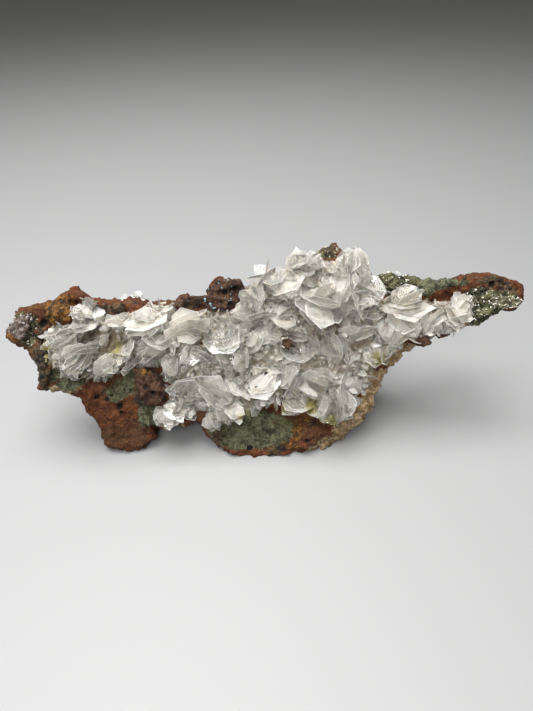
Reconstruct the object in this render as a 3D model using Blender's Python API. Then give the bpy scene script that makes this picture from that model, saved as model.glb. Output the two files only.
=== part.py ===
"""Mouse ear calcite: thin lens-shaped calcite crystals on a leaning plate of altered basalt.

Metres, +Z up, the specimen rests on z = 0 and its crystal face looks along -Y and up.
Sizes below are millimetres. The plate has its own frame: x to the right, v up its slope and
w out of its face, towards the viewer.
"""

import math
import random

import bmesh
import bpy
from mathutils import Matrix, Vector, noise

MM = 0.001

# The plate's pose: its face rises at LEAN from the table, and both ends curl forward.
LEAN = math.radians(60.0)
FRONT_Y = -27.0
HALF_LENGTH = 98.0
CURL_LEFT = 12.0
CURL_RIGHT = 5.0

# The gap that keeps the calcite and the rock apart as solids.
CLEARANCE = 0.3

# The rock, left to right: x, lower edge v, upper edge v, flare of the lower edge towards the back.
STATIONS = [
    (-100.0, 57.5, 61.5, 0.8),
    (-97.0, 56.0, 65.0, 1.0),
    (-92.6, 53.4, 67.5, 1.2),
    (-90.4, 49.6, 68.2, 1.2),
    (-88.8, 45.4, 68.8, 1.2),
    (-88.2, 37.0, 69.0, 1.5),
    (-86.0, 34.6, 69.0, 2.0),
    (-82.0, 34.0, 69.5, 2.0),
    (-79.0, 31.5, 71.0, 2.0),
    (-75.0, 31.0, 72.5, 2.0),
    (-70.0, 25.0, 70.0, 2.0),
    (-65.0, 22.0, 68.0, 2.0),
    (-59.0, 19.0, 66.0, 2.0),
    (-52.0, 16.0, 65.5, 2.0),
    (-44.0, 13.5, 66.0, 2.0),
    (-36.0, 13.0, 65.5, 2.0),
    (-29.0, 14.0, 66.0, 2.0),
    (-25.0, 8.0, 66.0, 1.5),
    (-20.0, 2.5, 66.5, 1.0),
    (-14.0, 0.0, 67.5, 0.8),
    (-4.0, -1.0, 69.5, 0.8),
    (4.0, -1.0, 74.5, 0.8),
    (11.0, -1.0, 76.5, 1.0),
    (17.0, -0.5, 78.5, 2.0),
    (23.0, 1.5, 83.5, 3.0),
    (28.0, 4.5, 85.0, 3.5),
    (33.0, 7.3, 81.5, 4.5),
    (38.0, 11.5, 78.0, 5.0),
    (43.0, 17.5, 75.0, 5.0),
    (46.0, 27.0, 75.5, 4.5),
    (50.0, 34.5, 76.0, 4.0),
    (56.0, 43.5, 75.0, 3.0),
    (62.0, 47.5, 72.5, 2.0),
    (66.0, 49.0, 70.3, 1.5),
    (71.0, 51.0, 71.8, 1.5),
    (77.0, 54.0, 74.0, 1.5),
    (84.0, 54.5, 75.5, 1.5),
    (88.0, 58.5, 75.8, 1.5),
    (93.0, 60.5, 74.0, 1.5),
    (97.5, 62.0, 71.5, 1.0),
    (100.5, 65.5, 69.5, 0.8),
]
RING_STEP = 5.6

# The rock's depth behind its face: a thin rim all round, a thick core, and under the core a
# narrower heel, which the specimen rests on.
EDGE_THICKNESS = 11.0
CORE_THICKNESS = 27.0
CORE_MIDDLE = 3.0
CORE_WIDTH = (20.0, 76.0)
CORE_HEIGHT = (30.0, 72.0)
HEEL_WIDTH = (5.0, 38.0)
HEEL_TOP = 27.0

# A section across the rock: points on its face and back, and how its edges are rounded off.
FRONT_POINTS = 8
BACK_POINTS = 6
FACE_MARGIN = 0.8
TOP_DEPTH = 1.4
TOP_SETBACK = 0.4
TOP_SHARE = 0.55
BACK_TOP = 1.6
BACK_BOTTOM = 0.6
FLARE_DEPTH = 1.6
FOOT_DEPTH = 2.0

# Unevenness of the rock: size of its bumps, their height, and a fixed place in the noise.
ROCK_ROUGHNESS = [
    (9.0, 1.0, (3.1, 7.7, 1.9)),
    (3.6, 0.6, (9.2, 0.4, 5.5)),
]
BACK_ROUGHNESS = (17.0, 2.6, (0.6, 4.4, 2.3))
BACK_FACING = 0.2
NOISE_APART = [(0.0, 0.0, 0.0), (31.4, 5.9, 12.7), (7.3, 48.2, 23.6)]

# Rock lumps: outline (x, v) in millimetres, back w, face w at v = 0, face slope, bevel.
LUMPS = {
    "lower_left_chunk": (
        [(-79, 38), (-71, 37), (-63, 34), (-55, 29), (-51, 22), (-49, 15), (-46.5, 9.5),
         (-53, 4.5), (-58, 3), (-64, 4.5), (-69, 8), (-70, 15), (-71.5, 22), (-74.5, 30)],
        -13.0, -6.0, 0.27, 1.6,
    ),
    "round_knob": (
        [(-51.9, 40), (-48.1, 41), (-44.4, 39), (-41.5, 35), (-40.2, 30.6), (-41.2, 26.8),
         (-44.4, 25), (-49, 25.3), (-50.6, 29), (-51.9, 35)],
        -3.0, 6.2, 0.0, 1.8,
    ),
    "upper_block": (
        [(-18.9, 73.8), (-16.5, 73), (-9.9, 72.3), (-8.4, 69.5), (-10, 67), (-11, 63.8),
         (-15, 61.2), (-19, 60.4), (-22.2, 61), (-23.9, 63), (-22.9, 66.8), (-21.3, 70)],
        -9.0, 2.4, 0.0, 1.0,
    ),
    "low_arm": (
        [(-36.4, 62.6), (-35.6, 65.8), (-33.4, 67.6), (-26.8, 66.6), (-21, 67), (-21, 62.6),
         (-26.9, 63.8), (-31.2, 64), (-33.8, 61.9)],
        -6.0, 2.2, 0.0, 0.9,
    ),
    "upper_left_rim": (
        [(-78.6, 71), (-75, 73.4), (-71.4, 72.5), (-68.7, 70.4), (-65, 68.4), (-59.7, 67),
         (-54.6, 65.4), (-55.4, 63), (-59.4, 61.8), (-61.5, 63.4), (-65, 66.2), (-70, 68.8),
         (-75, 69.6)],
        -5.0, 3.2, 0.0, 0.8,
    ),
    "ochre_lump": (
        [(-83.5, 66), (-80.5, 70), (-76.5, 71.6), (-74.2, 68), (-73.2, 63), (-75, 60.2),
         (-79, 60), (-82, 62)],
        -3.0, 3.4, 0.0, 1.4,
    ),
    "left_rim": (
        [(-89.4, 63), (-86.4, 60), (-85.8, 54), (-84.6, 48.7), (-84, 43), (-85.6, 39.5),
         (-86, 36), (-89.4, 36.8), (-89, 41.4), (-88.6, 46), (-90, 50), (-91.6, 55)],
        -5.0, 2.6, 0.0, 0.9,
    ),
    "rusty_ridge": (
        [(13.3, 20.6), (16.8, 17.6), (20.7, 12.8), (25.5, 9.6), (19.5, 4.5), (12, 2.6),
         (7.5, 4), (10, 9), (12.6, 15)],
        -4.0, 2.6, -0.03, 1.2,
    ),
    "lower_lip": (
        [(-19, 3.6), (-8, 4.6), (1, 5.4), (7.5, 7.4), (12, 4), (9, 0), (-3, -1), (-14, 0)],
        -5.0, 1.7, 0.0, 0.9,
    ),
    "right_band": (
        [(58.5, 69), (62, 72.6), (64.6, 70.8), (69.5, 72), (75.5, 74.4), (81, 75.4),
         (87, 76.2), (91, 74.6), (95.5, 71.6), (92, 69), (83.3, 69.4), (76, 66.4), (66.5, 66)],
        -5.0, 2.8, 0.0, 1.1,
    ),
    "right_end": (
        [(82.5, 67), (87, 69), (97, 69.2), (99.2, 66.4), (95.8, 61.8), (89.2, 60.8),
         (85.2, 57.4), (80.9, 58), (82.8, 61.5)],
        -5.0, 3.0, 0.0, 1.3,
    ),
}
CHIPS = {
    "central_chip": ([(5.8, 50.4), (9, 50.3), (10.6, 47.4), (9, 44.9), (6.4, 46.6)], -2.0, 8.6),
    "right_chip": ([(57, 50), (60.2, 51.8), (63, 50), (64.3, 48.4), (61.5, 46.8), (58, 47.2)],
                   -2.0, 6.4),
}
CHIP_BEVEL = 0.6
LUMP_UNEVEN = 0.7
CHIP_UNEVEN = 0.3
TABLE_SIZE = (0.4, 0.4, 0.1)

# The calcite field's outline on the plate, x and v.
FIELD = [
    (-86, 58.6), (-82, 61.6), (-75, 60), (-71, 64), (-72, 69), (-66, 66), (-60, 62), (-54.8, 63.4),
    (-39, 65.2), (-35.3, 61.4), (-24, 61.6), (-13.4, 60.8), (-8, 67), (-1.3, 69.8), (8, 76.5),
    (19, 79.6), (31.1, 80.6), (41, 76), (44.3, 63.5), (52.8, 69.6), (64.4, 64.6), (74, 65),
    (78.2, 68), (81.9, 62.9), (79.6, 57.3), (74.6, 53), (65.1, 50.4), (56.9, 49), (50.4, 42.5),
    (44, 36.5), (40, 27), (31.8, 18.6), (25.7, 13.4), (13.4, 23.4), (-2.2, 21.8), (-11.4, 13.8),
    (-20.9, 13.4), (-26.3, 20.7), (-36, 15.5), (-45, 15.5), (-45.6, 23.2), (-39.6, 26.1),
    (-39.8, 33.6), (-44.6, 41.5), (-52.5, 42), (-58.3, 40.2), (-62.5, 36), (-71.8, 37.6),
    (-81.6, 41.8), (-85.1, 47.1),
]
CRUST_THICKNESS = 2.6
CRUST_UNEVEN = 0.9
CRUST_ROOT = -1.5
CRUST_EDGE = 14.0
GROWN_LIMIT = 1.8

# The crystals that read from a step away: x, v, radius, tilt of the disc's axis away from the
# plate's normal in degrees, and the direction in the plate, anticlockwise from +x, that it leans.
CRYSTALS = [
    (-79, 53, 5.4, 25, 200), (-75, 57, 6.1, 62, 121), (-69, 60, 5.8, 60, 100),
    (-66, 64.5, 4.4, 45, 80), (-74, 46, 6.9, 60, 126), (-71, 49.5, 7.3, 66, 115),
    (-62, 43, 6.4, 35, 320),
    (-58, 59, 4.5, 40, 70), (-46, 60, 9.9, 45, 100),
    (-31, 55, 11.2, 40, 110), (-43, 51, 5.8, 68, 240), (-54, 48, 5.3, 60, 145),
    (-46, 44.5, 6.9, 30, 300), (-37, 40, 5.5, 62, 350),
    (-30, 44, 5.1, 40, 120), (-17, 50, 8.6, 50, 95), (-15, 43, 6.3, 25, 20),
    (-9, 42, 6.7, 60, 190), (-26, 43, 5.9, 45, 60), (-32, 31, 7.9, 45, 280),
    (-22, 28, 8.4, 35, 230), (-15, 23, 7.6, 40, 340), (-22, 17, 4.8, 50, 200),
    (-3, 34, 8.4, 45, 110), (-11, 31, 6.4, 60, 60),
    (-5, 66, 6.2, 35, 170), (8, 71.5, 10.0, 30, 120), (1, 73.5, 6.2, 72, 138),
    (7, 59, 6.3, 40, 250), (-1, 57, 7.1, 55, 100), (3, 52, 5.5, 35, 60),
    (20, 63, 11.7, 64, 66), (13, 79.5, 4.8, 50, 100), (19, 80, 4.2, 40, 60), (28, 71, 10.4, 32, 150),
    (37, 69, 10.4, 55, 20), (34.5, 80.8, 8.0, 40, 90), (33, 65, 8.5, 60, 340),
    (39, 65, 6.2, 40, 300), (13, 50, 5.1, 55, 70),
    (25, 46, 8.3, 58, 200), (38, 50, 7.4, 28, 300), (12, 44, 7.5, 66, 80),
    (6, 36, 7.6, 35, 160), (20, 32, 7.6, 40, 250), (33, 29, 8.0, 38, 10),
    (27, 22, 8.8, 68, 5), (12, 23, 6.9, 70, 85), (20, 21, 5.2, 60, 130),
    (42, 43, 5.5, 45, 60), (13, 31, 6.4, 50, 340), (54, 62, 9.9, 70, 95),
    (56, 66.5, 4.9, 45, 90), (55, 55, 7.7, 35, 200), (65, 56, 7.2, 30, 330),
    (72, 58, 7.2, 35, 60), (76, 62.5, 7.1, 40, 30),
    (73, 55.5, 5.7, 50, 300), (52, 48.5, 6.6, 50, 320), (47, 53, 5.4, 50, 20),
    (-44, 20, 5.9, 40, 240), (-37, 23, 6.3, 45, 100), (-40, 17, 4.4, 60, 80),
]
REAR_CRYSTALS = [(-55.5, 66.4, 3.4, 50, 110), (-51.5, 67.0, 3.4, 40, 70)]
CRYSTAL_HEIGHT = 3.6
REAR_HEIGHT = -4.0

# One crystal, as shares of its radius and of its half thickness.
DISC_THICKNESS = 0.44
RIM_BULGE = 0.05
RIM_UNEVEN = 0.05
RIM_WAVE = 0.22
CAP_REACH = 0.5
CAP_HEIGHT = 0.86
LARGE_RADIUS = 6.5
LARGE_SIDES = 8
SMALL_SIDES = 6

# Fine drusy crusts on bare rock: outline (x, v), then the crust's height over the plate.
DRUSES = {
    "druse_left": ([(-96.6, 61.6), (-93.2, 65), (-89.8, 67), (-88.6, 63.6), (-89.8, 59.6),
                    (-92.4, 57.6)], 4.6),
    "druse_right": ([(86, 66.4), (89, 67.2), (97.4, 66.6), (96.6, 63.4), (92.6, 62.4),
                     (88, 62.8)], 4.5),
}

# Each piece's finish: its name, colour and roughness.
CALCITE_COLOUR = (0.72, 0.70, 0.66, 1.0)
DRUSE_COLOUR = (0.42, 0.41, 0.43, 1.0)
FINISHES = {
    "matrix": ("basalt", (0.16, 0.085, 0.055, 1.0), 0.85),
    "calcite_field": ("calcite", CALCITE_COLOUR, 0.25),
    "calcite_rear": ("calcite_small", CALCITE_COLOUR, 0.3),
    "druse_left": ("druse_left", DRUSE_COLOUR, 0.45),
    "druse_right": ("druse_right", DRUSE_COLOUR, 0.45),
}
SEED = 11


def clear_scene():
    for item in list(bpy.data.objects):
        bpy.data.objects.remove(item, do_unlink=True)


def curl(x):
    """How far the plate's ends come forward at x."""
    reach = CURL_LEFT if x < 0 else CURL_RIGHT
    return reach * (x / HALF_LENGTH) ** 2


def plate(x, v, w):
    """The place of plate coordinates, in metres."""
    y = FRONT_Y + v * math.cos(LEAN) - curl(x) - w * math.sin(LEAN)
    z = v * math.sin(LEAN) + w * math.cos(LEAN)
    return Vector((x, y, z)) * MM


def plate_axes():
    """The plate's x, v and w directions as a rotation."""
    right = Vector((1.0, 0.0, 0.0))
    up = Vector((0.0, math.cos(LEAN), math.sin(LEAN)))
    out = Vector((0.0, -math.sin(LEAN), math.cos(LEAN)))
    return Matrix((right, up, out)).transposed()


def station(x):
    """Lower edge, upper edge and flare of the rock at x, read between the stations."""
    for left, right in zip(STATIONS, STATIONS[1:]):
        if x <= right[0]:
            share = (x - left[0]) / (right[0] - left[0])
            return [a + (b - a) * share for a, b in zip(left[1:], right[1:])]
    return list(STATIONS[-1][1:])


def smooth_step(low, high, value):
    share = min(max((value - low) / (high - low), 0.0), 1.0)
    return share * share * (3.0 - 2.0 * share)


def thickness(x, v):
    """The rock's depth behind its face: thin arms and rim, thick low in the middle."""
    aside = abs(x - CORE_MIDDLE)
    middle = 1.0 - smooth_step(*CORE_WIDTH, aside)
    low = 1.0 - smooth_step(*CORE_HEIGHT, v)
    beside_heel = smooth_step(*HEEL_WIDTH, aside) * (1.0 - smooth_step(0.0, HEEL_TOP, v))
    return EDGE_THICKNESS + CORE_THICKNESS * middle * low * (1.0 - beside_heel)


def spread(start, end, count):
    """Evenly spaced values from start to end."""
    return [start + (end - start) * step / (count - 1) for step in range(count)]


def rough(point, grain, amount, offset):
    """A repeatable uneven shift of a point: bumps of the size grain, shifted by up to amount."""
    place = point / (MM * grain) + Vector(offset)
    shift = [noise.noise(place + Vector(apart)) for apart in NOISE_APART]
    return Vector(shift) * amount * MM


def link(name, bm):
    mesh = bpy.data.meshes.new(name)
    bm.to_mesh(mesh)
    bm.free()
    item = bpy.data.objects.new(name, mesh)
    bpy.context.scene.collection.objects.link(item)
    return item


def evaluated(item):
    """A bmesh of the object with its modifiers applied."""
    graph = bpy.context.evaluated_depsgraph_get()
    bm = bmesh.new()
    bm.from_object(item, graph)
    return bm


def bake(item):
    """Replaces the object's mesh by its modified form, in triangles."""
    bm = evaluated(item)
    item.modifiers.clear()
    midway = [vert for vert in bm.verts if len(vert.link_edges) == 2]
    bmesh.ops.dissolve_verts(bm, verts=midway)
    bmesh.ops.triangulate(bm, faces=bm.faces)
    bm.to_mesh(item.data)
    bm.free()


def boolean(item, other, operation, solver="EXACT", overlapping=False):
    """Joins or cuts item by other, which is used up."""
    change = item.modifiers.new(operation.lower(), "BOOLEAN")
    change.operation = operation
    change.object = other
    change.solver = solver
    change.use_self = overlapping
    bake(item)
    bpy.data.objects.remove(other, do_unlink=True)


def face_edge_ring(bm, x):
    """One closed section of the rock across the plate at x."""
    low, high, flare = station(x)
    points = [(v, 0.0) for v in spread(low + flare, high - FACE_MARGIN, FRONT_POINTS)]
    points.append((high, -TOP_DEPTH))
    points.append((high - TOP_SETBACK, -thickness(x, high) * TOP_SHARE))
    for v in spread(high - BACK_TOP, low + BACK_BOTTOM, BACK_POINTS):
        points.append((v, -thickness(x, v)))
    points.append((low, -max(flare * FLARE_DEPTH, FOOT_DEPTH)))
    return [bm.verts.new(plate(x, v, w)) for v, w in points]


def ring_places():
    """A section at every station, and more between those that lie far apart."""
    places = [STATIONS[0][0]]
    for left, right in zip(STATIONS, STATIONS[1:]):
        count = math.ceil((right[0] - left[0]) / RING_STEP)
        places += spread(left[0], right[0], count + 1)[1:]
    return places


def rock_body():
    """The plate: sections bridged from the left tip to the right tip."""
    bm = bmesh.new()
    loops = []
    for x in ring_places():
        ring = face_edge_ring(bm, x)
        edges = [bm.edges.new((a, b)) for a, b in zip(ring, ring[1:] + ring[:1])]
        loops.append(edges)
    for near, far in zip(loops, loops[1:]):
        bmesh.ops.bridge_loops(bm, edges=near + far)
    for end in (loops[0], loops[-1]):
        bmesh.ops.contextual_create(bm, geom=end)
    bmesh.ops.recalc_face_normals(bm, faces=bm.faces)
    bm.normal_update()
    for vert in bm.verts:
        place = vert.co.copy()
        for roughness in ROCK_ROUGHNESS:
            vert.co += rough(place, *roughness)
        if vert.normal.y > BACK_FACING:
            vert.co += rough(place, *BACK_ROUGHNESS)
    bmesh.ops.triangulate(bm, faces=bm.faces)
    return link("rock_body", bm)


def prism(name, outline, back, face_at, bevel, uneven, seed):
    """A lump with the given outline, its edges bevelled and its face poked and uneven."""
    bm = bmesh.new()
    ring = [bm.verts.new((x, v, back)) for x, v in outline]
    base = bm.faces.new(ring)
    lifted = bmesh.ops.extrude_face_region(bm, geom=[base])
    tops = [part for part in lifted["geom"] if isinstance(part, bmesh.types.BMVert)]
    for vert in tops:
        vert.co.z = face_at(vert.co.y)
    bmesh.ops.recalc_face_normals(bm, faces=bm.faces)
    top_set = set(tops)
    rims = [edge for edge in bm.edges
            if (edge.verts[0] in top_set) == (edge.verts[1] in top_set)]
    bmesh.ops.bevel(bm, geom=rims, offset=bevel, affect="EDGES", segments=1,
                    profile=0.5, material=-1)
    face = max(bm.faces, key=lambda each: each.normal.z * each.calc_area())
    bmesh.ops.poke(bm, faces=[face])
    chance = random.Random(seed)
    for vert in bm.verts:
        if vert.co.z > back + bevel:
            vert.co.x += chance.uniform(-uneven, uneven) / 2.0
            vert.co.y += chance.uniform(-uneven, uneven) / 2.0
            vert.co.z += chance.uniform(-uneven, uneven)
    for vert in bm.verts:
        vert.co = plate(*vert.co)
    bmesh.ops.triangulate(bm, faces=bm.faces)
    bmesh.ops.recalc_face_normals(bm, faces=bm.faces)
    return link(name, bm)


def matrix_rock():
    """The rock: its body, lumps and chips in one solid, cut flat where it rests."""
    rock = rock_body()
    for seed, (name, data) in enumerate(LUMPS.items()):
        outline, back, face, slope, bevel = data
        lump = prism(name, outline, back, lambda v: face + slope * v, bevel, LUMP_UNEVEN, seed)
        boolean(rock, lump, "UNION")
    for seed, (name, (outline, back, face)) in enumerate(CHIPS.items()):
        chip = prism(name, outline, back, lambda v: face, CHIP_BEVEL, CHIP_UNEVEN, seed)
        boolean(rock, chip, "UNION")
    bm = bmesh.new()
    bmesh.ops.create_cube(bm, size=1.0)
    bmesh.ops.scale(bm, vec=TABLE_SIZE, verts=bm.verts)
    bmesh.ops.translate(bm, vec=(0.0, 0.0, -TABLE_SIZE[2] / 2.0), verts=bm.verts)
    boolean(rock, link("table_cut", bm), "DIFFERENCE")
    rock.name = "matrix"
    rock.data.name = "matrix"
    return rock


def grown(item, amount):
    """A copy of the object whose surface stands further out by amount."""
    copy = item.copy()
    copy.data = item.data.copy()
    bpy.context.scene.collection.objects.link(copy)
    bm = bmesh.new()
    bm.from_mesh(copy.data)
    bmesh.ops.remove_doubles(bm, verts=bm.verts, dist=1e-6)
    bm.normal_update()
    shifts = [(vert, vert.normal * vert.calc_shell_factor()) for vert in bm.verts]
    for vert, shift in shifts:
        length = min(shift.length, GROWN_LIMIT)
        vert.co += shift.normalized() * length * amount * MM
    bm.to_mesh(copy.data)
    bm.free()
    return copy


def clear_of_rock(item, rock):
    """Cuts the rock away with its clearance. EXACT fails on the grown rock's folded corners."""
    boolean(item, grown(rock, CLEARANCE), "DIFFERENCE", solver="MANIFOLD")


def around(reach, angle, height):
    """A point of a crystal in its own frame, whose z runs along the disc's axis."""
    return Vector((reach * math.cos(angle), reach * math.sin(angle), height))


def lens(bm, centre, radius, turn, sides, chance):
    """A flattened rhombohedral crystal: rounded rim, three flat faces above and three below."""
    half = radius * DISC_THICKNESS / 2.0
    points = []
    for step in range(sides):
        angle = math.tau * step / sides
        threefold = math.cos(3.0 * angle)
        uneven = chance.uniform(-RIM_UNEVEN, RIM_UNEVEN)
        reach = radius * (1.0 + RIM_BULGE * threefold + uneven)
        points.append(around(reach, angle, half * RIM_WAVE * threefold))
    for step in range(3):
        angle = math.tau * step / 3.0
        points.append(around(radius * CAP_REACH, angle, half * CAP_HEIGHT))
        points.append(around(radius * CAP_REACH, angle + math.pi / 3.0, -half * CAP_HEIGHT))
    verts = [bm.verts.new(centre + (turn @ point) * MM) for point in points]
    made = bmesh.ops.convex_hull(bm, input=verts)
    loose = {part for part in made["geom_interior"] + made["geom_unused"]
             if isinstance(part, bmesh.types.BMVert)}
    bmesh.ops.delete(bm, geom=list(loose), context="VERTS")


def disc_turn(tilt, lean, spin):
    """The rotation of a disc whose axis tilts by tilt towards lean in the plate."""
    swing = Matrix.Rotation(math.radians(lean), 3, "Z") @ Matrix.Rotation(math.radians(tilt), 3, "Y")
    return plate_axes() @ swing @ Matrix.Rotation(math.radians(spin), 3, "Z")


def lenses(name, crystals, height, seed):
    """The listed crystals, which still pass through each other."""
    chance = random.Random(seed)
    bm = bmesh.new()
    for x, v, radius, tilt, lean in crystals:
        turn = disc_turn(tilt, lean, chance.uniform(0.0, 120.0))
        sides = LARGE_SIDES if radius > LARGE_RADIUS else SMALL_SIDES
        lens(bm, plate(x, v, height), radius, turn, sides, chance)
    bmesh.ops.recalc_face_normals(bm, faces=bm.faces)
    return link(name, bm)


def crust(name, outline, height):
    """A sheet that follows the rock's face inside the outline, uneven on its own face."""
    bm = bmesh.new()
    ring = [bm.verts.new((x, v, CRUST_ROOT)) for x, v in outline]
    base = bm.faces.new(ring)
    bmesh.ops.triangulate(bm, faces=[base])
    long_edges = [edge for edge in bm.edges if edge.calc_length() > CRUST_EDGE]
    bmesh.ops.subdivide_edges(bm, edges=long_edges, cuts=1)
    bmesh.ops.triangulate(bm, faces=bm.faces)
    lifted = bmesh.ops.extrude_face_region(bm, geom=list(bm.faces))
    chance = random.Random(SEED)
    for part in lifted["geom"]:
        if isinstance(part, bmesh.types.BMVert):
            part.co.z = height + chance.uniform(-CRUST_UNEVEN, CRUST_UNEVEN)
    for vert in bm.verts:
        vert.co = plate(*vert.co)
    bmesh.ops.recalc_face_normals(bm, faces=bm.faces)
    return link(name, bm)


def keep_main_body(item):
    """Fills closed hollows and drops slivers: only the largest closed shell stays."""
    bm = bmesh.new()
    bm.from_mesh(item.data)
    left = set(bm.faces)
    shells = []
    while left:
        queue = [left.pop()]
        shell = list(queue)
        while queue:
            face = queue.pop()
            joins = [edge.link_faces for edge in face.edges if len(edge.link_faces) == 2]
            for near in {near for pair in joins for near in pair if near in left}:
                left.remove(near)
                queue.append(near)
                shell.append(near)
        shells.append(shell)
    shells.sort(key=len)
    spare = [face for shell in shells[:-1] for face in shell]
    bmesh.ops.delete(bm, geom=spare, context="FACES")
    bm.to_mesh(item.data)
    bm.free()


def calcite_field(rock):
    """The crystals and the crust they grow from, one solid, clear of the rock."""
    field = crust("calcite_field", FIELD, CRUST_THICKNESS)
    crystals = lenses("field_lenses", CRYSTALS, CRYSTAL_HEIGHT, SEED)
    boolean(field, crystals, "UNION", overlapping=True)
    clear_of_rock(field, rock)
    keep_main_body(field)
    return field


def calcite_rear(rock):
    """The small rosette behind the upper left rim."""
    rear = lenses("calcite_rear", REAR_CRYSTALS, REAR_HEIGHT, SEED)
    clear_of_rock(rear, rock)
    keep_main_body(rear)
    return rear


def druse(name, rock):
    """A thin crust of tiny crystals on bare rock."""
    outline, height = DRUSES[name]
    sheet = crust(name, outline, height)
    clear_of_rock(sheet, rock)
    keep_main_body(sheet)
    return sheet


def paint(item):
    """Gives a piece its one material."""
    name, colour, roughness = FINISHES[item.name]
    material = bpy.data.materials.new(name)
    material.use_nodes = True
    shader = material.node_tree.nodes["Principled BSDF"]
    shader.inputs["Base Color"].default_value = colour
    shader.inputs["Roughness"].default_value = roughness
    shader.inputs["Metallic"].default_value = 0.0
    item.data.materials.clear()
    item.data.materials.append(material)


def centre(items):
    """Moves all pieces together so that the origin is the middle of the base of their box."""
    corners = [vert.co for item in items for vert in item.data.vertices]
    low = Vector([min(corner[axis] for corner in corners) for axis in range(3)])
    high = Vector([max(corner[axis] for corner in corners) for axis in range(3)])
    shift = Vector((-(low.x + high.x) / 2.0, -(low.y + high.y) / 2.0, -low.z))
    for item in items:
        item.data.transform(Matrix.Translation(shift))
    print("moved by", [round(value / MM, 3) for value in shift], "mm")


def main():
    clear_scene()
    rock = matrix_rock()
    items = [rock, calcite_field(rock), calcite_rear(rock)]
    items += [druse(name, rock) for name in DRUSES]
    for item in items:
        paint(item)
    centre(items)


main()
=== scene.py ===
"""Looks of the mouse ear calcite: its rock, crusts and crystals, the light and the camera.

Places on the specimen are millimetres in its plate's frame: x to the right, v up the plate's
slope and w out of its face. plate() turns them into the model's metres.
"""
import math
import random

import bmesh
import bpy
from mathutils import Matrix, Vector, noise
from mathutils.bvhtree import BVHTree
from mathutils.geometry import intersect_point_line


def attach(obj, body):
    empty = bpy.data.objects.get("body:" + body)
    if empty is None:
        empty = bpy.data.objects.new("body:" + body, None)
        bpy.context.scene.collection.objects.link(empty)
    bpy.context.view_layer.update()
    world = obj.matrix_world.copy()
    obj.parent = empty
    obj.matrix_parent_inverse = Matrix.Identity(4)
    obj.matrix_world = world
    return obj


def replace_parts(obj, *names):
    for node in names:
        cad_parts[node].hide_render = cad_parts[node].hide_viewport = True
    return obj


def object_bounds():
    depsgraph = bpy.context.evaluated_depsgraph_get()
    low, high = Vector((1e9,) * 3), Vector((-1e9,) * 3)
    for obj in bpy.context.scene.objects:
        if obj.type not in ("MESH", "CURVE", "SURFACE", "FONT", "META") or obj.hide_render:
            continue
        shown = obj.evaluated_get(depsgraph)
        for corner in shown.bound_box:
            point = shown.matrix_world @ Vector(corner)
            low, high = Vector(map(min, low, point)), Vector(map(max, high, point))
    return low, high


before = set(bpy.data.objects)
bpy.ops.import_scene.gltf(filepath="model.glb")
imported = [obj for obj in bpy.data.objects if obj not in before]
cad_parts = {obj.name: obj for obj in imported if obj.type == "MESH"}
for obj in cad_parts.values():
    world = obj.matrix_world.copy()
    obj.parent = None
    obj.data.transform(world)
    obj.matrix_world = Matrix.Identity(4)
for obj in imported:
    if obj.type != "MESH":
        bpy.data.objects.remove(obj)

MM = 0.001
CAD_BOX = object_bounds()

# The plate's pose, as the solids have it, and the move that put their box on the origin.
LEAN = math.radians(60.0)
FRONT_Y = -27.0
HALF_LENGTH = 98.0
CURL_LEFT = 12.0
CURL_RIGHT = 5.0
SHIFT = Vector((-0.473, 2.588, 0.0))

# The camera that took the photograph, whose frame is 533 by 711 pixels.
PHOTO_HEIGHT = 711
FOCAL_PIXELS = 500.0
CAMERA_PLACE = Vector((0.0, -161.4, 166.28)) + SHIFT
CAMERA_TILT = math.radians(39.85)
CAMERA_ROLL = math.radians(0.93)
SENSOR = 36.0

ROCK_VOXEL = 0.7
PATCH_EDGE = 4.0

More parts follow.
